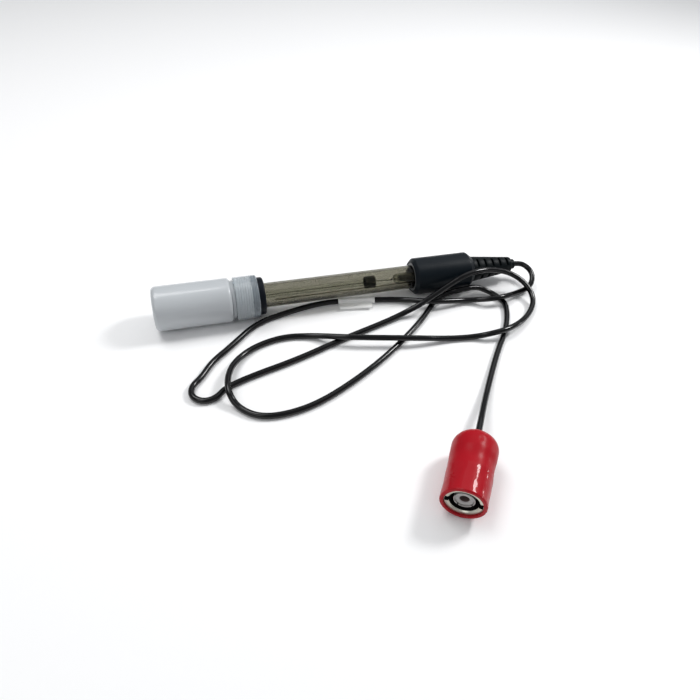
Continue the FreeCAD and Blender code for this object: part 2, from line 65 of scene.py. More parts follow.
# Along the plug, stations run from the boot's mouth towards the cable
PLUG_MOUTH = (8.0, -131.4)
PLUG_HEADING = 56.8
BOOT_RADIUS = 9.05
CONTACT_REAR = 12.3
CONTACT_OUTER = 4.1
CONTACT_INNER = 3.6
NUT_SEAT_REAR = 13.4
NUT_REAR_BORE = 5.25
FLANGE_REAR = 11.3
BODY_REAR = 19.8

# The electrode rests on the bottle's shoulder and the cap's rear edge, centred along X
TILT = math.atan((BOTTLE_RADIUS - CAP_RADIUS) / (CAP_REAR - BOTTLE_REST))
LIFT = CAP_RADIUS * math.cos(TILT) + CAP_REAR * math.sin(TILT)
LOW_X = ((BOTTLE_BASE + BOTTLE_FOOT_ROUND) * math.cos(TILT)
         - (BOTTLE_RADIUS - BOTTLE_FOOT_ROUND) * math.sin(TILT) - BOTTLE_FOOT_ROUND)
HIGH_X = RELIEF_END * math.cos(TILT) + RELIEF_END_RADIUS * math.sin(TILT)
ELECTRODE = Matrix.Translation((-(LOW_X + HIGH_X) / 2, 0, LIFT)) @ Matrix.Rotation(TILT, 4, "Y")
PLUG = Matrix.Translation((*PLUG_MOUTH, BOOT_RADIUS)) @ Matrix.Rotation(math.radians(PLUG_HEADING), 4, "Z")


def fillet(profile, steps=5):
    """Points of a closed (station, radius, rounding) profile with its corners rounded."""
    out = []
    count = len(profile)
    for i, corner in enumerate(profile):
        here = Vector((corner[0], corner[1]))
        size = corner[2] if len(corner) > 2 else 0
        if not size:
            out.append(tuple(here))
            continue
        before = Vector(profile[i - 1][:2]) - here
        after = Vector(profile[(i + 1) % count][:2]) - here
        before.normalize()
        after.normalize()
        half = before.angle(after) / 2
        reach = size / math.tan(half)
        centre = here + (before + after).normalized() * (size / math.sin(half))
        first = here + before * reach - centre
        last = here + after * reach - centre
        turn = first.angle_signed(last)
        for k in range(steps + 1):
            part = turn * k / steps
            spoke = Vector((first.x * math.cos(-part) - first.y * math.sin(-part),
                            first.x * math.sin(-part) + first.y * math.cos(-part)))
            out.append(tuple(centre + spoke))
    return out


def densify(points, step):
    """The same closed profile with long runs divided."""
    out = []
    for i, a in enumerate(points):
        b = points[(i + 1) % len(points)]
        out.append(a)
        parts = int(math.dist(a, b) / step)
        for k in range(1, parts):
            out.append((a[0] + (b[0] - a[0]) * k / parts, a[1] + (b[1] - a[1]) * k / parts))
    return out


def mesh_piece(name, verts, faces, place, sharp=32):
    """Object from vertices in mm, moved to its place, smooth with sharp edges over an angle."""
    me = bpy.data.meshes.new(name)
    me.from_pydata([tuple((place @ Vector(v)) * MM) for v in verts], [], faces)
    me.validate()
    me.polygons.foreach_set("use_smooth", [True] * len(me.polygons))
    if sharp:
        me.set_sharp_from_angle(angle=math.radians(sharp))
    ob = bpy.data.objects.new(name, me)
    bpy.context.scene.collection.objects.link(ob)
    return ob


def lathe_data(profile, segments=72, step=None, warp=None, steps=5):
    """Vertices and faces of a closed profile turned about the X axis."""
    points = fillet(profile, steps)
    if step:
        points = densify(points, step)
    verts, faces, rings = [], [], []
    for s, r in points:
        ring = []
        if r < 1e-6:
            verts.append((s, 0, 0))
            ring = [len(verts) - 1] * segments
        else:
            for k in range(segments):
                a = 2 * math.pi * k / segments
                ds, dr = warp(s, a, r) if warp else (0, 0)
                verts.append((s + ds, -(r + dr) * math.sin(a), (r + dr) * math.cos(a)))
                ring.append(len(verts) - 1)
        rings.append(ring)
    for i, ring in enumerate(rings):
        following = rings[(i + 1) % len(rings)]
        for k in range(segments):
            n = (k + 1) % segments
            face = []
            for v in (ring[k], following[k], following[n], ring[n]):
                if v not in face:
                    face.append(v)
            if len(face) > 2:
                faces.append(face)
    return verts, faces


def lathe(name, profile, place, segments=72, step=None, warp=None, steps=5, sharp=32):
    """Piece turned from a closed profile; step divides its long runs, steps its rounded corners."""
    verts, faces = lathe_data(profile, segments, step, warp, steps)
    ob = mesh_piece(name, verts, faces, place, sharp)
    fix_normals(ob)
    return ob


def fix_normals(ob):
    """Turns all faces outwards."""
    bm = bmesh.new()
    bm.from_mesh(ob.data)
    bmesh.ops.recalc_face_normals(bm, faces=bm.faces)
    bm.to_mesh(ob.data)
    bm.free()


def sweep(name, path, radii, place, segments=12):
    """Round rod with closed ends along points in mm, with a radius at each point."""
    verts, faces = [], []
    normal = None
    pts = [Vector(p) for p in path]
    for i, p in enumerate(pts):
        ahead = pts[min(i + 1, len(pts) - 1)] - pts[max(i - 1, 0)]
        ahead.normalize()
        if normal is None:
            normal = ahead.orthogonal().normalized()
        normal = (normal - ahead * normal.dot(ahead)).normalized()
        side = ahead.cross(normal)
        for k in range(segments):
            a = 2 * math.pi * k / segments
            verts.append(tuple(p + (normal * math.cos(a) + side * math.sin(a)) * radii[i]))
    for i in range(len(pts) - 1):
        for k in range(segments):
            n = (k + 1) % segments
            here, there = i * segments, (i + 1) * segments
            faces.append([here + k, here + n, there + n, there + k])
    faces.append(list(range(segments))[::-1])
    faces.append([(len(pts) - 1) * segments + k for k in range(segments)])
    ob = mesh_piece(name, verts, faces, place, 40)
    fix_normals(ob)
    return ob


def box_mesh(name, size, place):
    """Plain box of a size, centred, in mm; a cutter."""
    x, y, z = (v / 2 for v in size)
    verts = [(a * x, b * y, c * z) for a in (-1, 1) for b in (-1, 1) for c in (-1, 1)]
    faces = [(0, 1, 3, 2), (4, 6, 7, 5), (0, 4, 5, 1), (2, 3, 7, 6), (0, 2, 6, 4), (1, 5, 7, 3)]
    ob = mesh_piece(name, verts, faces, place, 0)
    fix_normals(ob)
    return ob


def cut(ob, cutters, soften=0.0, sharp=32):
    """Cuts the cutters out of a piece, softens the edges and removes the cutters."""
    for cutter in cutters:
        mod = ob.modifiers.new("cut", "BOOLEAN")
        mod.object = cutter
        mod.solver = "EXACT"
    if soften:
        mod = ob.modifiers.new("soft", "BEVEL")
        mod.width = soften * MM
        mod.segments = 2
        mod.limit_method = "ANGLE"
        mod.angle_limit = math.radians(40)
    bpy.context.view_layer.update()
    graph = bpy.context.evaluated_depsgraph_get()
    me = bpy.data.meshes.new_from_object(ob.evaluated_get(graph))
    ob.modifiers.clear()
    old = ob.data
    ob.data = me
    me.name = old.name
    bpy.data.meshes.remove(old)
    for cutter in cutters:
        data = cutter.data
        bpy.data.objects.remove(cutter)
        bpy.data.meshes.remove(data)
    me.polygons.foreach_set("use_smooth", [True] * len(me.polygons))
    me.set_sharp_from_angle(angle=math.radians(sharp))


def noise_node(tree, coords, scale, detail):
    """Noise over the object's own coordinates; the scale is per metre."""
    node = tree.nodes.new("ShaderNodeTexNoise")
    node.inputs["Scale"].default_value = scale
    node.inputs["Detail"].default_value = detail
    tree.links.new(coords.outputs["Object"], node.inputs["Vector"])
    return node


def material(name, colour, rough=0.4, metal=0.0, spread=0.06, rough_spread=0.08, scale=220.0, bump=0.04,
             bump_scale=900.0, **sockets):
    """Principled surface whose colour and roughness vary a little, with a fine bump."""
    mat = bpy.data.materials.new(name)
    mat.use_nodes = True
    tree = mat.node_tree
    shader = tree.nodes["Principled BSDF"]
    coords = tree.nodes.new("ShaderNodeTexCoord")
    cloud = noise_node(tree, coords, scale, 5.0)
    cloud.inputs["Roughness"].default_value = 0.6
    ramp = tree.nodes.new("ShaderNodeMix")
    ramp.data_type = "RGBA"
    dark = [max(0.0, c * (1 - spread)) for c in colour[:3]]
    light = [min(1.0, c * (1 + spread)) for c in colour[:3]]
    ramp.inputs["A"].default_value = (*dark, 1)
    ramp.inputs["B"].default_value = (*light, 1)
    tree.links.new(cloud.outputs["Fac"], ramp.inputs["Factor"])
    tree.links.new(ramp.outputs["Result"], shader.inputs["Base Color"])
    spots = tree.nodes.new("ShaderNodeMapRange")
    spots.inputs["From Min"].default_value = 0.3
    spots.inputs["From Max"].default_value = 0.7
    spots.inputs["To Min"].default_value = max(0.02, rough - rough_spread)
    spots.inputs["To Max"].default_value = min(1.0, rough + rough_spread)
    tree.links.new(cloud.outputs["Fac"], spots.inputs["Value"])
    tree.links.new(spots.outputs["Result"], shader.inputs["Roughness"])
    grain = noise_node(tree, coords, bump_scale, 3.0)
    relief = tree.nodes.new("ShaderNodeBump")
    relief.inputs["Strength"].default_value = bump
    relief.inputs["Distance"].default_value = 0.0002
    tree.links.new(grain.outputs["Fac"], relief.inputs["Height"])
    tree.links.new(relief.outputs["Normal"], shader.inputs["Normal"])
    shader.inputs["Metallic"].default_value = metal
    for key, value in sockets.items():
        shader.inputs[key.replace("_", " ")].default_value = value
    return mat


def tint(mat, colour, density):
    """Absorption inside a clear material, per metre."""
    tree = mat.node_tree
    volume = tree.nodes.new("ShaderNodeVolumeAbsorption")
    volume.inputs["Color"].default_value = (*colour, 1)
    volume.inputs["Density"].default_value = density
    tree.links.new(volume.outputs["Volume"], tree.nodes["Material Output"].inputs["Volume"])


def dress(ob, mat):
    """Gives a piece one material."""
    ob.data.materials.clear()
    ob.data.materials.append(mat)


def add(ob, mat, body, slot, *nodes):
    """Gives a piece its material and its body and hides the CAD nodes that it stands for; the slot is not
    used.
    """
    dress(ob, mat)
    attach(ob, body)
    if nodes:
        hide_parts(*nodes)
    return ob


def paint(ob, mat, place, chosen):
    """Gives a second material to the faces whose centre, in mm within the place, is chosen."""
    ob.data.materials.append(mat)
    inverse = place.inverted()
    for face in ob.data.polygons:
        if chosen(inverse @ (face.center / MM)):
            face.material_index = 1


def off_axis(point):
    """Distance of a point from the X axis."""
    return math.hypot(point.y, point.z)


# Materials; colours are linear
FROSTED = material("frosted", (0.49, 0.515, 0.535), 0.38, spread=0.03, scale=70, bump=0.015, bump_scale=120,
                   Transmission_Weight=0.04, IOR=1.45, Coat_Weight=0.5, Coat_Roughness=0.10)
COLLAR = material("collar_moulded", (0.66, 0.71, 0.74), 0.16, spread=0.04, bump=0.03, bump_scale=400,
                  Transmission_Weight=0.60, IOR=1.42)
# painted shade: a darker copy of the collar's colour for its rear part, where the dark seal behind it shows
# through
COLLAR_PAINTED_SHADE = material("collar_painted_shade_over_seal", (0.36, 0.41, 0.45), 0.16, spread=0.10, bump=0.03, bump_scale=400,
                       Transmission_Weight=0.60, IOR=1.42)
SEAL = material("seal_rubber", (0.004, 0.006, 0.010), 0.40, bump=0.08, Specular_IOR_Level=0.10)
SMOKE = material("smoke_tube", (0.55, 0.54, 0.48), 0.04, rough_spread=0.02, spread=0.01, bump=0.0,
                 Transmission_Weight=1.0, IOR=1.22)
tint(SMOKE, (0.35, 0.34, 0.28), 320.0)
GLASS = material("clear_glass", (0.90, 0.91, 0.88), 0.04, rough_spread=0.02, spread=0.01, bump=0.0,
                 Transmission_Weight=1.0, IOR=1.14)
PLATINUM = material("platinum", (0.72, 0.71, 0.69), 0.20, 1.0)
SILVER = material("silver_wire", (0.60, 0.58, 0.52), 0.45, 1.0)
STOPPER = material("stopper_rubber", (0.035, 0.035, 0.03), 0.5)
SOLDER = material("solder", (0.82, 0.82, 0.80), 0.18, 1.0, bump=0.3)
CERAMIC = material("ceramic", (0.82, 0.79, 0.72), 0.7)
PLUG_PLASTIC = material("tip_plastic", (0.05, 0.05, 0.045), 0.45)
CORE = material("core_insulation", (0.012, 0.012, 0.012), 0.4)
SLEEVE = material("clear_sleeve", (0.62, 0.62, 0.55), 0.12, Transmission_Weight=0.85, IOR=1.3, bump=0.05)
RESIN = material("resin", (0.02, 0.02, 0.02), 0.35)
CAP = material("cap_plastic", (0.001, 0.004, 0.007), 0.42, rough_spread=0.05, scale=160, bump=0.10,
               bump_scale=1500, Specular_IOR_Level=0.17)
BEAD = material("cap_adhesive", (0.085, 0.088, 0.09), 0.40, spread=0.25, scale=500, bump=0.30,
                bump_scale=900)
RELIEF = material("relief_rubber", (0.002, 0.004, 0.005), 0.42, bump=0.15, bump_scale=1300,
                  Specular_IOR_Level=0.10)
CABLE = material("cable_sheath", (0.001, 0.001, 0.0015), 0.14, rough_spread=0.03, bump=0.03, bump_scale=700,
                 Specular_IOR_Level=0.34)
LABEL = material("label_film", (0.90, 0.90, 0.885), 0.35, spread=0.03, bump=0.05)
VINYL_RED = (0.365, 0.006, 0.013)
VINYL = material("boot_vinyl", VINYL_RED, 0.30, spread=0.10, rough_spread=0.04, scale=120, bump=0.03,
                 bump_scale=350, Specular_IOR_Level=0.06, Coat_Weight=0.30, Coat_Roughness=0.03,
                 Coat_IOR=1.45)
VINYL_REAR = material("boot_vinyl_dull", VINYL_RED, 0.36, spread=0.10, rough_spread=0.04, scale=120,
                      bump=0.03, bump_scale=350, Specular_IOR_Level=0.06, Coat_Weight=0.09,
                      Coat_Roughness=0.26, Coat_IOR=1.45)
NICKEL = material("nut_nickel", (0.60, 0.585, 0.50), 0.34, 0.85, spread=0.08, bump=0.12)
# painted shade: a near-black colour for the nut's bore and entries, standing in for the shade inside them
PAINTED_BORE_SHADE = material("nut_bore_painted_shade", (0.005, 0.004, 0.004), 0.5, Specular_IOR_Level=0.12)
SOCKET = material("socket_bore", (0.15, 0.105, 0.10), 0.5)
CONTACT = material("contact_metal", (0.42, 0.40, 0.385), 0.38, 0.55, bump=0.10)
INSERT = material("insulator_plastic", (0.40, 0.385, 0.375), 0.5)
GILT = material("gilt_pin", (0.45, 0.30, 0.20), 0.3, 1.0)
STEEL = material("spring_steel", (0.45, 0.45, 0.45), 0.3, 1.0)
FLOOR = material("floor_paper", (0.93, 0.93, 0.93), 0.7, spread=0.0, bump=0.0)


def slightly_uneven(amount, rate):
    """Moulding unevenness: the radius swells and shrinks by a small amount along and around."""
    around = 1.3

    def warp(s, a, r):
        p = Vector((s * rate, math.cos(a) * around, math.sin(a) * around))
        return 0.0, amount * noise.noise(p)
    return warp


def make_bottle():
    """Hollow bottle with a foot, a shoulder and a neck; its moulded wall isn't quite round."""
    base, outer, shoulder = BOTTLE_BASE, BOTTLE_RADIUS, BOTTLE_SHOULDER
    inner, floor_inside, roof_inside = 9.4, -127.3, -94.3
    neck_root, neck_end, neck_outer, neck_bore = -91.65, -83.55, 8.3, 7.0
    profile = [(base + 0.9, 0), (base + 0.9, 6.2, 0.8), (base, 7.4, 0.5), (base, outer, BOTTLE_FOOT_ROUND),
               (shoulder, outer, BOTTLE_SHOULDER_ROUND), (shoulder, 9.1, 0.3), (neck_root, 9.1, 0.3),
               (neck_root, neck_outer), (neck_end, neck_outer, 0.3), (neck_end, neck_bore, 0.3),
               (roof_inside, neck_bore, 0.5), (roof_inside, inner, 1.0), (floor_inside, inner, 1.4),
               (floor_inside, 0)]
    ob = lathe("bottle_shell", profile, ELECTRODE, 128, step=1.4, warp=slightly_uneven(0.05, 0.09))
    add(ob, FROSTED, "bottle", "bottle", "bottle")


def make_neck_thread():
    """Rounded ridge wound round the bottle's neck, running out at both ends."""
    start, pitch, turns, radius, ridge = -89.9, 2.0, 2.4, 8.25, 0.28
    count, runout = 160, 8
    path, radii = [], []
    for k in range(count):
        turn = turns * 2 * math.pi * k / (count - 1)
        station = start + pitch * turn / (2 * math.pi)
        path.append((station, -radius * math.sin(turn), radius * math.cos(turn)))
        radii.append(ridge * min(1.0, k / runout, (count - 1 - k) / runout) + 0.02)
    add(sweep("neck_thread", path, radii, ELECTRODE, 8), FROSTED, "bottle", "bottle")


def thread_rings(s, a, r):
    """The collar's inner thread shows on its outer face as faint rings, uneven round the collar."""
    front, rear, outer_face = -91.0, -80.9, 10.3
    height, inset = 0.060, 0.04
    fade = min(1.0, max(0.0, s - front), max(0.0, rear - s)) if r > outer_face else 0.0
    coarse = math.sin((s + 1.1 * a / math.pi) * 2 * math.pi / 1.15)
    ring = coarse + 0.5 * math.sin(s * 2 * math.pi / 0.71 + 2 * a)
    return 0.0, height * fade * ring - inset


def make_collar():
    """Screwed ring with a lip at its rear; its rear part, over the seal, is painted darker as the shade of
    the dark seal behind it.
    """
    front, rear, outer, inner, chamfer = -91.5, -80.3, 10.5, 8.7, 0.5
    lip_front, lip_bore = -81.9, 7.5
    profile = [(front, inner, 0.2), (front, outer, 0.4), (rear - chamfer, outer, 0.2),
               (rear, outer - chamfer, 0.2), (rear, lip_bore), (lip_front, lip_bore),
               (lip_front, inner, 0.4)]
    ob = lathe("collar_ring", profile, ELECTRODE, 144, step=0.22, warp=thread_rings)
    add(ob, COLLAR, "collar", "bottle_collar", "bottle_collar")
    # painted shade: the collar's rear faces, over the seal, take the darker copy
    collar_shade_from = -83.6
    paint(ob, COLLAR_PAINTED_SHADE, ELECTRODE, lambda p: p.x > collar_shade_from + 0.5 * noise.noise(p * 0.5))


def make_seal():
    """Rubber grommet on the shaft, its waist within the collar's lip."""
    front, rear, bore, waist, brim = -83.5, -77.25, 6.05, 7.2, 9.1
    waist_front, waist_rear = -81.95, -80.25
    profile = [(front, bore), (front, 8.0, 0.3), (waist_front, 8.0), (waist_front, waist),
               (waist_rear, waist), (waist_rear, brim, 0.35), (rear, brim, 1.0), (rear, bore, 0.3)]
    ob = lathe("seal_grommet", profile, ELECTRODE, 96, steps=6)
    add(ob, SEAL, "seal", "seal_ring", "seal_ring")


def make_shaft():
    """Tube with four round-ended windows, open at the tip, and a ring of vertices behind them."""
    tip, rear, outer, inner = -120, 12, 6.0, 4.9
    windows_clear = -109
    window_end, window_half, window_over, deep = -113.3, 2.3, 2, 8
    profile = [(tip, inner, 0.3), (tip, outer, 0.3), (windows_clear, outer), (rear, outer), (rear, inner),
               (windows_clear, inner)]
    shaft = lathe("shaft_tube", profile, ELECTRODE, 96)
    cutters = []
    length = window_end - tip + window_over
    for quarter in range(4):
        turn = Matrix.Rotation(math.radians(45 + 90 * quarter), 4, "X")
        open_part = Matrix.Translation((window_end - length / 2, 0, 5))
        cutters.append(box_mesh("window", (length, 2 * window_half, deep), ELECTRODE @ turn @ open_part))
        verts, faces = lathe_data([(0, 0), (0, window_half), (deep, window_half), (deep, 0)], 32)
        upright = Matrix.Translation((window_end, 0, 1)) @ Matrix.Rotation(-math.pi / 2, 4, "Y")
        cutters.append(mesh_piece("window_end", verts, faces, ELECTRODE @ turn @ upright, 0))
        fix_normals(cutters[-1])
    cut(shaft, cutters)
    add(shaft, SMOKE, "electrode", "body_tube", "body_tube")


def make_inner_parts():
    """What shows through the shaft, from the tip to the cap."""
    disc_front, disc_rear, disc_outer = -111, -105, 4.85
    stem_front, stem_rear, stem_outer, stem_bore = -116.5, -22.6, 2.0, 1.2
    pin_front, pin_rear, pin_head, pin = -118.9, -113.1, 0.8, 0.5
    stopper_front, stopper_rear, stopper_outer, stopper_bore = -26, -20.6, 3.05, 2.02
    solder_front, solder_rear = -14.6, -11.1
    coat_front, coat_rear = -72, -60
    cover_front, cover_outer, cover_bore = -10.4, 2.5, 1.38
    core_front, core = -7.9, 1.35
    resin_front, resin_rear, resin_outer, resin_bore = 4, 12, 4.88, 1.36
    wire, wire_drop = 0.3, 3.5
    junction, junction_drop = 0.7, 3.35

    def part(name, profile, mat, node, place=ELECTRODE, segments=40):
        add(lathe(name, profile, place, segments), mat, "electrode", node, node)

    part("tip_disc", [(disc_front, stem_outer), (disc_front, disc_outer, 0.4), (disc_rear, disc_outer),
                      (disc_rear, stem_outer)], PLUG_PLASTIC, "tip_plug")
    part("stem_glass", [(stem_front, pin), (stem_front, stem_outer, 1.4), (stem_rear, stem_outer),
                        (stem_rear, stem_bore), (pin_rear, stem_bore), (pin_rear, pin)], GLASS,
         "glass_stem")
    part("tip_pin", [(pin_front, 0), (pin_front, pin_head, 0.75), (-117.4, pin_head, 0.25), (-117.2, pin),
                     (pin_rear, pin), (pin_rear, 0)], PLATINUM, "platinum_tip")
    part("lead_wire", [(pin_rear, 0), (pin_rear, wire), (solder_front, wire), (solder_front, 0)], PLATINUM,
         "platinum_lead", segments=16)
    part("stem_stopper", [(stopper_front, stopper_bore), (stopper_front, stopper_outer, 0.4),
                          (stopper_rear, stopper_outer, 0.4), (stopper_rear, wire), (stem_rear, wire),
                          (stem_rear, stopper_bore)], STOPPER, "stem_sleeve")
    part("solder_beads", [(solder_front, 0), (solder_front, 0.62, 0.25), (-13.9, 0.62, 0.25),
                          (-13.2, 0.45, 0.2), (-12.2, 0.85, 0.5), (solder_rear, 0.45, 0.2),
                          (solder_rear, 0)], SOLDER, "solder_joint")
    part("signal_lead", [(solder_rear, 0), (solder_rear, wire), (core_front, wire), (core_front, 0)],
         SILVER, "signal_wire", segments=16)
    low = ELECTRODE @ Matrix.Translation((0, 0, -wire_drop))
    part("reference_lead", [(coat_front, 0), (coat_front, 0.55, 0.3), (coat_rear, 0.5, 0.3),
                            (coat_rear + 1, wire), (resin_front, wire), (resin_front, 0)], SILVER,
         "reference_wire", low, 16)
    low = ELECTRODE @ Matrix.Translation((0, 0, -junction_drop))
    part("junction_pin", [(disc_front, 0), (disc_front, junction, 0.1), (disc_rear, junction),
                          (disc_rear, 0)], CERAMIC, "reference_junction", low, 20)
    part("core_cover", [(cover_front, wire), (cover_front, cover_outer, 2.0), (resin_front, cover_outer),
                        (resin_front, cover_bore), (core_front, cover_bore), (core_front, wire)], SLEEVE,
         "core_sleeve")
    part("core_lead", [(core_front, 0), (core_front, core, 0.2), (resin_rear, core), (resin_rear, 0)], CORE,
         "cable_core")
    part("resin_fill", [(resin_front, resin_bore), (resin_front, resin_outer), (resin_rear, resin_outer),
                        (resin_rear, resin_bore)], RESIN, "potting")


def make_cap():
    """Cap with a recessed front face, and the bead of adhesive in the recess."""
    bore, shaft_end, chamber, chamber_rear, outlet = 6.04, 12.05, 6.4, 28.2, 4.65
    profile = [(0.1, bore), (0.1, 7.1, 0.2), (-0.9, 7.3, 0.15), (-0.9, 7.7, 0.15), (0.7, CAP_RADIUS, 0.6),
               (CAP_REAR, CAP_RADIUS, 0.9), (CAP_CONE_END, RELIEF_RADIUS, 0.6), (CAP_CONE_END, outlet),
               (chamber_rear, outlet), (chamber_rear, chamber), (shaft_end, chamber), (shaft_end, bore)]
    uneven = slightly_uneven(0.03, 0.12)
    ob = lathe("cap_moulding", profile, ELECTRODE, 128, step=1.2, warp=uneven, steps=7)
    add(ob, CAP, "electrode", "cap", "cap")
    glued_to, glued_radius = 12.2, 6.3
    paint(ob, BEAD, ELECTRODE, lambda p: p.x < glued_to and off_axis(p) < glued_radius)
    profile = [(-0.75, 6.02, 0.05), (-0.55, 6.5, 0.4), (-0.8, 7.25, 0.15), (0.09, 7.1), (0.09, 6.02)]
    bead = lathe("cap_bead", profile, ELECTRODE, 96, step=0.4, warp=slightly_uneven(0.10, 0.9))
    add(bead, BEAD, "electrode", "cap")


def make_strain_relief():
    """Tapered rubber sleeve with pairs of slots, turned a quarter from one to the next."""
    start, taper_end, end = CAP_CONE_END, RELIEF_TAPER_END, RELIEF_END
    bore, root, root_rear, waist, lip = 1.45, 25.15, 28.15, 4.6, 2.6
    first_slot, slot_pitch, slot_rows, slot_heading = 2.55, 4.35, 5, 66
    slot_size = (1.25, 4.6, 4.0)
    profile = [(root, 0), (root, 6.0, 0.5), (root_rear, 6.0), (root_rear, waist), (start + 0.02, waist),
               (start + 0.02, 6.65, 0.1), (taper_end, RELIEF_TAPER_RADIUS, 0.5), (taper_end, lip, 0.25),
               (end - 0.8, lip, 0.3), (end, RELIEF_END_RADIUS, 0.2), (end, bore), (CABLE_SEAT, bore),
               (CABLE_SEAT, 0)]
    ob = lathe("relief_sleeve", profile, ELECTRODE, 96)
    cutters = []
    for step in range(2 * slot_rows - 1):
        station = start + first_slot + slot_pitch * step / 2
        share = (station - start) / (taper_end - start)
        surface = RELIEF_RADIUS + (RELIEF_TAPER_RADIUS - RELIEF_RADIUS) * share
        for side in (0, 180):
            heading = slot_heading + side + 90 * (step % 2)
            turn = Matrix.Rotation(math.radians(90 - heading), 4, "X")
            place = ELECTRODE @ turn @ Matrix.Translation((station, 0, surface))
            cutters.append(box_mesh("slot", slot_size, place))
    cut(ob, cutters, soften=0.14, sharp=40)
    add(ob, RELIEF, "electrode", "strain_relief", "strain_relief")


def boot_warp(s, a, r):
    """Dipped skin: the nut's rear edge shows, the skin sinks in behind it and is nowhere quite round."""
    nut_edge, over_nut, hollow, dent, dent_heading = 12.5, 14.0, 17.5, 25.0, 0.1
    cable_hole, floor_below = 2.0, 9.03
    side, top = math.sin(a), math.cos(a)
    edge = 0.16 * math.exp(-((s - nut_edge) / 2.2) ** 2) * (0.5 + 0.5 * math.cos(a - 1.0))
    sunk = -0.38 * math.exp(-((s - hollow) / 3.2) ** 2) * (0.55 - 0.45 * math.cos(a + 2.2))
    dimple = -0.22 * math.exp(-((s - dent) / 0.9) ** 2 - ((a - dent_heading) / 0.11) ** 2)
    calm = 1.0 if s < over_nut else 0.5
    lumps = 0.22 * noise.noise(Vector((s * 0.16, side * 1.5, top * 1.5 + 7)))
    fine = 0.05 * calm * noise.noise(Vector((s * 0.6, side * 5, top * 5)))
    below = max(0.0, -top) ** 2
    near_exit = min(1.0, max(0.0, (r - cable_hole) / 4.0))
    change = ((edge + sunk + dimple + lumps + fine) * (1 - 0.85 * below) - 0.1) * near_exit
    if top < -0.5:
        change = min(change, floor_below / -top - r)
    return 0.0, change


def make_boot():
    """Red skin over the nut, duller behind it."""
    mouth, outer, straight, rear, wide, wide_from = 7.55, BOOT_RADIUS, 14, 31.8, 9.4, 22
    nut_rear, inside_rear, inside_outer, cable_hole = 15.15, 29.2, 6.65, 1.7
    profile = [(0, mouth, 0.35), (0, outer, 0.7), (straight, outer), (wide_from, wide, 4),
               (rear, wide, 5.9), (rear, cable_hole, 0.5), (inside_rear, cable_hole),
               (inside_rear, inside_outer, 4.0), (nut_rear, inside_outer), (nut_rear, mouth)]
    ob = lathe("boot_skin", profile, PLUG, 160, step=0.7, warp=boot_warp, steps=14, sharp=60)
    add(ob, VINYL, "nut", "boot", "boot")
    dull_from = 13.4
    paint(ob, VINYL_REAR, PLUG, lambda p: p.x > dull_from + 0.8 * noise.noise(p * 0.35))
    return ob


def make_nut():
    """Nut with its two entries, one on each side; its inner faces are painted near-black as shade in the
    bore.
    """
    front, rear, outer, bore, rear_bore = 0.9, 15.1, 7.5, 5.65, NUT_REAR_BORE
    seat_front, seat_rear, seat_bore = 10.1, NUT_SEAT_REAR, 6.35
    entry_size, entry_middle, entry_heading = (3.6, 2.6, 2.7), (1.7, 0, 5.85), 87
    bore_shade_from, bore_shade_radius = 1.3, 7.25
    profile = [(front, 6.1, 0.1), (front, outer, 0.25), (rear, outer, 0.2), (rear, rear_bore),
               (seat_rear, rear_bore), (seat_rear, seat_bore), (seat_front, seat_bore), (seat_front, bore),
               (1.45, bore, 0.1)]
    ob = lathe("nut_shell", profile, PLUG, 96)
    cutters = []
    for half in (0, 180):
        turn = PLUG @ Matrix.Rotation(math.radians(entry_heading + half), 4, "X")
        cutters.append(box_mesh("entry", entry_size, turn @ Matrix.Translation(entry_middle)))
    cut(ob, cutters, soften=0.06, sharp=40)
    add(ob, NICKEL, "nut", "coupling_nut", "coupling_nut")
    # painted shade: faces inside the bore and the entries take the near-black shade colour
    paint(ob, PAINTED_BORE_SHADE, PLUG, lambda p: p.x > bore_shade_from and off_axis(p) < bore_shade_radius)
    return ob


def make_contact_sleeve():
    """Outer contact, slit from the front into four fingers."""
    front, rear, outer, inner = 1.8, CONTACT_REAR, CONTACT_OUTER, CONTACT_INNER
    slit_size, slit_middle = (5.2, 12, 0.6), (4.2, 0, 0)
    profile = [(front, inner, 0.15), (front, outer, 0.2), (rear, outer), (rear, inner)]
    sleeve = lathe("contact_sleeve", profile, PLUG, 64)
    cutters = []
    for heading in (30, 120):
        turn = PLUG @ Matrix.Rotation(math.radians(heading), 4, "X")
        cutters.append(box_mesh("slit", slit_size, turn @ Matrix.Translation(slit_middle)))
    cut(sleeve, cutters)
    return add(sleeve, CONTACT, "electrode", "outer_contact", "outer_contact")


def make_wave_spring():
    """The CAD's own spring in steel, on a mesh of its own; the real spring flattens against the plug body's
    flange as the nut is drawn forward.
    """
    spring = NODES["wave_spring"]
    dress(spring, STEEL)
    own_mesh(spring)
    return spring


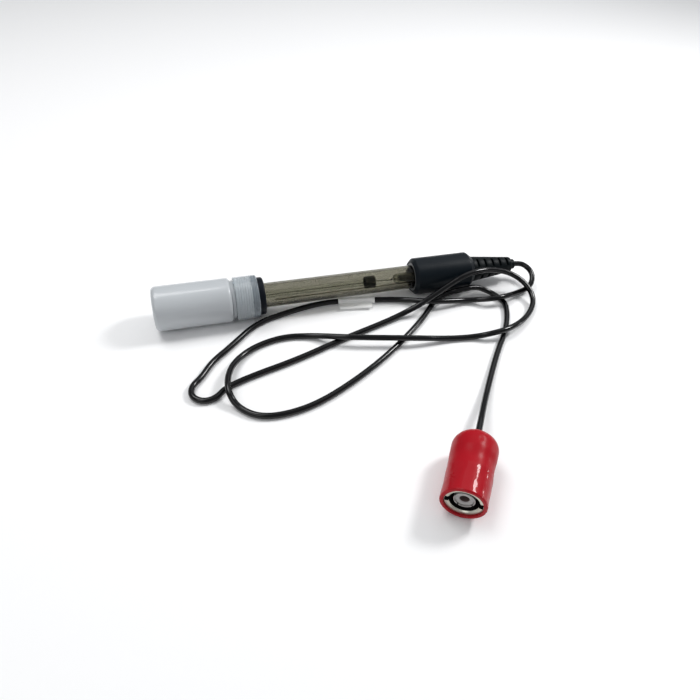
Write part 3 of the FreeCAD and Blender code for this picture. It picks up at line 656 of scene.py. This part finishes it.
def make_plug_parts():
    """The plug's pieces within the nut and behind it, all but the cable."""
    made = [make_contact_sleeve()]
    insert_front, insert_rear, insert_outer, insert_bore, lip = 2.3, 13.8, 3.58, 0.68, 1.8
    socket_front, socket_rear, socket = 3.2, 7.6, 2.3
    pin_front, pin_rear, pin = 4.0, 18.8, 0.675
    gasket_front, gasket_bore, gasket_outer = 8.9, 4.12, 5.3
    flange_front, flange, neck, neck_rear, body, chamfer = 10.3, 6.05, 4.95, 15.4, 5.6, 0.5
    washer_front, washer_rear, washer_bore = 13.0, NUT_SEAT_REAR, NUT_REAR_BORE
    ferrule_end, ferrule_outer, ferrule_bore = 27.2, 3.0, 1.45
    brown_from, brown_radius = 2.6, 2.4

    def part(name, profile, mat, node, body_name="electrode", segments=64):
        ob = lathe(name, profile, PLUG, segments)
        add(ob, mat, body_name, node, node)
        made.append(ob)
        return ob

    insert = part("insert_ring", [(insert_front, lip, 0.5), (insert_front, insert_outer, 0.2),
                                  (insert_rear, insert_outer), (insert_rear, insert_bore),
                                  (socket_rear, insert_bore), (socket_rear, socket), (socket_front, socket),
                                  (socket_front, lip)], INSERT, "insulator")
    paint(insert, SOCKET, PLUG, lambda p: p.x > brown_from and off_axis(p) < brown_radius)
    part("centre_contact", [(pin_front, 0), (pin_front, pin, 0.5), (pin_rear, pin), (pin_rear, 0)], GILT,
         "centre_pin", segments=24)
    part("body_turned", [(flange_front, CONTACT_OUTER), (flange_front, flange, 0.1),
                         (FLANGE_REAR, flange, 0.1), (FLANGE_REAR, neck), (neck_rear, neck),
                         (neck_rear, body, 0.1), (BODY_REAR - chamfer, body, 0.2),
                         (BODY_REAR, body - chamfer), (BODY_REAR, 0), (pin_rear, 0), (pin_rear, insert_bore),
                         (insert_rear, insert_bore), (insert_rear, CONTACT_INNER),
                         (CONTACT_REAR, CONTACT_INNER), (CONTACT_REAR, CONTACT_OUTER)], NICKEL, "plug_body")
    part("gasket_ring", [(gasket_front, gasket_bore), (gasket_front, gasket_outer, 0.4),
                         (flange_front, gasket_outer), (flange_front, gasket_bore)], SEAL, "gasket")
    part("washer_ring", [(washer_front, washer_bore), (washer_front, flange), (washer_rear, flange),
                         (washer_rear, washer_bore)], STEEL, "thrust_washer", "washer")
    part("ferrule_tube", [(BODY_REAR, ferrule_bore), (BODY_REAR, ferrule_outer, 0.3),
                          (ferrule_end, ferrule_outer, 0.6), (ferrule_end, ferrule_bore)], NICKEL,
         "crimp_ferrule")
    made.append(make_wave_spring())
    return made


# The cable's way over the table in mm, from the relief to the plug, as read from the photo
ROUTE = [
    (99.8, -2.2, 8.6), (101.6, -7.0, 7.3), (100.1, -11.8, 5.1), (96.1, -14.9, 3.2), (89.8, -15.6, 1.9),
    (79.9, -20.2, 4.9), (72.4, -20.6, 4.9), (63.0, -15.3, 1.4), (50.0, -16.3, 3.8), (41.1, -16.0, 4.9),
    (35.2, -12.7, 3.8), (27.3, -6.8, 1.4), (9.8, -3.75, 1.65), (-10.8, -0.8, 1.65), (-29.9, -4.1, 1.4),
    (-47.6, -9.3, 1.4), (-62.2, -23.3, 1.4), (-71.3, -30.9, 1.4), (-76.8, -39.4, 1.4), (-81.6, -43.9, 1.4),
    (-82.3, -49.7, 1.4), (-78.0, -53.8, 1.4), (-72.1, -53.1, 1.4), (-67.2, -47.8, 1.4), (-54.3, -43.3, 1.4),
    (-33.3, -37.9, 1.4), (-9.4, -29.3, 1.4), (14.9, -21.9, 1.4), (26.3, -18.5, 2.6), (33.9, -18.7, 6.8),
    (42.1, -15.6, 8.8), (51.0, -12.9, 11.8), (59.2, -11.1, 15.0), (69.1, -9.1, 15.2), (79.5, -7.6, 12.8),
    (88.0, -9.0, 10.0), (93.2, -13.4, 7.4), (95.7, -19.5, 4.6), (93.8, -26.6, 2.6), (85.4, -35.2, 2.2),
    (72.8, -42.9, 4.6), (62.9, -44.6, 4.8), (54.4, -41.9, 1.4), (41.4, -40.3, 1.4), (24.1, -39.6, 4.6),
    (13.3, -37.3, 4.9), (0.2, -34.3, 5.0), (-10.7, -31.3, 5.0), (-21.9, -24.0, 1.4), (-36.4, -21.4, 1.4),
    (-50.9, -25.1, 1.4), (-61.3, -33.6, 2.4), (-65.8, -44.5, 4.9), (-66.8, -53.8, 4.9), (-64.0, -60.2, 1.4),
    (-56.4, -67.3, 1.4), (-45.3, -68.8, 1.4), (-30.3, -66.0, 1.4), (-11.3, -56.8, 1.4), (9.7, -43.6, 1.4),
    (33.1, -24.6, 1.4), (44.2, -11.8, 1.4), (52.0, -9.5, 3.4), (59.3, -11.3, 5.8), (68.4, -9.8, 5.2),
    (76.2, -12.0, 1.8), (80.8, -20.0, 1.4), (77.2, -30.4, 1.4), (70.4, -41.7, 1.4), (59.8, -54.6, 1.4),
    (45.8, -74.4, 2.2), (36.5, -88.0, 5.5)]


def make_cable():
    """Cord along the route and the points of its centre line, in mm."""
    relief_leave, plug_leave = 60.9, 37.5
    route = [ELECTRODE @ Vector((CABLE_SEAT, 0, 0)), ELECTRODE @ Vector((relief_leave, 0, 0))]
    route += [Vector(p) for p in ROUTE]
    route += [PLUG @ Vector((plug_leave, 0, 0)), PLUG @ Vector((BODY_REAR, 0, 0))]
    curve = bpy.data.curves.new("cable_cord", "CURVE")
    curve.dimensions = "3D"
    spline = curve.splines.new("NURBS")
    spline.points.add(len(route) - 1)
    for point, place in zip(spline.points, route):
        point.co = (*(place * MM), 1.0)
    spline.order_u = 3
    spline.use_endpoint_u = True
    spline.resolution_u = 10
    bare = bpy.data.objects.new("cable_line", curve)
    line = bpy.data.meshes.new_from_object(bare)
    points = [v.co.copy() / MM for v in line.vertices]
    bpy.data.objects.remove(bare)
    bpy.data.meshes.remove(line)
    curve.bevel_depth = CABLE_DIAMETER / 2 * MM
    curve.bevel_resolution = 5
    curve.use_fill_caps = True
    cord = bpy.data.objects.new("cable_cord", curve)
    bpy.context.scene.collection.objects.link(cord)
    curve.materials.append(CABLE)
    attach(cord, "electrode")
    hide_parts("cable")
    return cord, points


def cable_span(points, middle, reach):
    """The cable's centre line within a reach, along it, of the point nearest the middle."""
    near = min(range(len(points)), key=lambda i: (points[i] - middle).length)
    span = [points[near]]
    for step in (-1, 1):
        at, run = near, 0.0
        while run < reach:
            ahead = points[at + step] - points[at]
            run += ahead.length
            at += step
            end = points[at] - ahead.normalized() * max(0.0, run - reach)
            if step < 0:
                span.insert(0, end)
            else:
                span.append(end)
    return span


def make_label(points):
    """White film wrapped round the cable, its two ends stuck together as a flag on the near side."""
    middle, reach = Vector((4.1, -3.0, 1.6)), 9.4
    outer, thickness = 1.6, 0.136
    wrap_start, wrap_angle = -8, 344
    flap, flap_drop, notch, notch_share = 4.4, 0.42, 0.35, 0.09
    rows, ring = 28, 40
    span = cable_span(points, middle, reach)
    verts, faces = [], []
    for i in range(rows):
        share = i / (rows - 1)
        t = share * (len(span) - 1)
        k = min(int(t), len(span) - 2)
        p = span[k].lerp(span[k + 1], t - k)
        ahead = (span[k + 1] - span[k]).normalized()
        up = (Vector((0, 0, 1)) - ahead * ahead.z).normalized()
        side = ahead.cross(up)
        if side.y > 0:
            side = -side
        for j in range(ring + 1):
            a = math.radians(wrap_start + wrap_angle * j / ring)
            r = outer + 0.02 * noise.noise(Vector((i * 0.2, j * 0.3, 3)))
            verts.append(tuple(p + side * math.cos(a) * r + up * math.sin(a) * r))
        width = flap if share > notch_share else notch
        wave = 0.22 * math.sin(share * 7.0) + 0.05
        for d in (0.5, 1.0):
            verts.append(tuple(p + side * (outer + width * d) + up * (wave * d - flap_drop * d)))
    per = ring + 3
    for i in range(rows - 1):
        for j in range(ring):
            faces.append([i * per + j, (i + 1) * per + j, (i + 1) * per + j + 1, i * per + j + 1])
        for a, b in ((0, ring + 1), (ring + 1, ring + 2), (ring, ring + 1)):
            faces.append([i * per + a, i * per + b, (i + 1) * per + b, (i + 1) * per + a])
    ob = mesh_piece("label_wrap", verts, faces, Matrix.Identity(4), 50)
    film = ob.modifiers.new("film", "SOLIDIFY")
    film.thickness = thickness * MM
    film.offset = 0
    return add(ob, LABEL, "electrode", "cable_label", "cable_label")


def make_camera():
    """Camera at the photograph's angle; picture and focal length in pixels, sensor in mm, place in m."""
    picture, focal, sensor = 700.0, 620.0, 36.0
    place = (-0.07421, -0.23511, 0.20430)
    pitch, roll, heading = math.radians(44.20), math.radians(4.0), math.radians(-18.51)
    forward = Vector((-math.sin(heading) * math.cos(pitch), math.cos(heading) * math.cos(pitch),
                      -math.sin(pitch)))
    right = Vector((math.cos(heading), math.sin(heading), 0))
    up = right.cross(forward)
    tilted_right = right * math.cos(roll) + up * math.sin(roll)
    tilted_up = -right * math.sin(roll) + up * math.cos(roll)
    data = bpy.data.cameras.new("camera")
    data.sensor_width = sensor
    data.lens = focal / picture * sensor
    data.clip_start, data.clip_end = 0.01, 20.0
    camera = bpy.data.objects.new("camera", data)
    turn = Matrix((tilted_right, tilted_up, -forward)).transposed().to_4x4()
    camera.matrix_world = Matrix.Translation(place) @ turn
    bpy.context.scene.collection.objects.link(camera)
    bpy.context.scene.camera = camera


def area(name, place, target, size, power, colour=(1, 1, 1), size_y=None):
    """Soft light at a place, in m, that faces a target."""
    data = bpy.data.lights.new(name, "AREA")
    data.energy = power
    data.color = colour
    data.size = size
    if size_y:
        data.shape = "RECTANGLE"
        data.size_y = size_y
    light = bpy.data.objects.new(name, data)
    light.location = place
    light.rotation_euler = (Vector(target) - Vector(place)).to_track_quat("-Z", "Y").to_euler()
    bpy.context.scene.collection.objects.link(light)


def make_surroundings():
    """Plain floor, pale sky and five soft lights."""
    scene = bpy.context.scene
    scene.view_settings.view_transform = "Standard"
    world = bpy.data.worlds.new("world")
    world.use_nodes = True
    sky = world.node_tree.nodes["Background"]
    sky.inputs["Color"].default_value = (0.95, 0.97, 1.0, 1)
    sky.inputs["Strength"].default_value = 0.34
    scene.world = world
    half = 3000
    verts = [(-half, -half, 0), (half, -half, 0), (half, half, 0), (-half, half, 0)]
    floor = mesh_piece("floor", verts, [(0, 1, 2, 3)], Matrix.Identity(4), 0)
    dress(floor, FLOOR)
    centre, plug = (0.0, -0.04, 0.0), (0.012, -0.125)
    area("key", (-0.25, 0.25, 0.75), centre, 0.40, 2.7)
    area("window", (0.505, 0.060, 0.490), (*plug, 0.01), 0.15, 2.6, size_y=0.14)
    area("high", (0.32, 0.28, 0.58), (0.05, 0.0, 0.01), 0.70, 1.0, (0.97, 0.98, 1.0))
    area("fill", (-0.5, -0.4, 0.6), centre, 0.5, 1.0)
    area("low", (0.612, -0.085, 0.045), (*plug, 0.012), 0.03, 0.12, size_y=0.05)


make_bottle()
make_neck_thread()
make_collar()
make_seal()
make_shaft()
make_inner_parts()
make_cap()
make_strain_relief()
boot = make_boot()
nut = make_nut()
plug_pieces = make_plug_parts()
cord, cord_points = make_cable()
label = make_label(cord_points)
make_camera()
make_surroundings()
